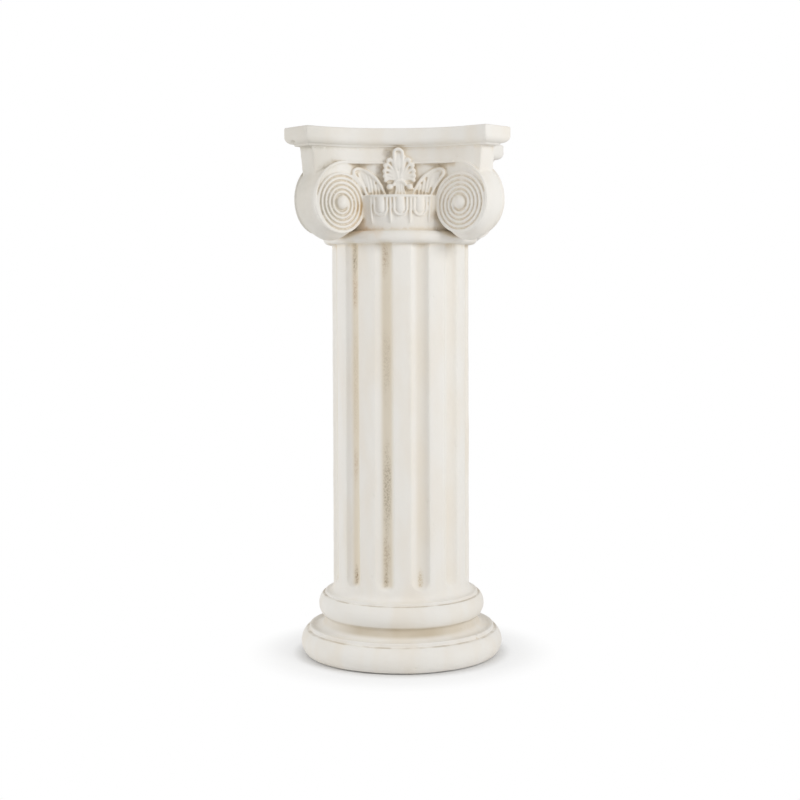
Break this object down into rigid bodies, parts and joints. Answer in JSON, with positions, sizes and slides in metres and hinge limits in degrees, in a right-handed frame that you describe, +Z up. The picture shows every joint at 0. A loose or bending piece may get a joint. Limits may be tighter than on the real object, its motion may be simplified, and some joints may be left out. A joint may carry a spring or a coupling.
{
  "type": "ionic column pedestal",
  "caption": "Fluted pedestal column with a round moulded base, corner volutes and a flat hollow-sided top to set a vase, lamp or bust on.",
  "frame": {"origin": "middle of the underside, on the floor", "axes": "+Z up the column's axis, X and Y square to the four faces of the capital, -Y out of the face seen in front"},
  "size_m": [0.3284, 0.3284, 0.8],
  "materials": {
    "cast_plaster": "cast plaster with matt ivory paint and a thin ochre wash left in the hollows"
  },
  "bodies": {
    "root": {"column": "cast_plaster"}
  },
  "joints": []
}
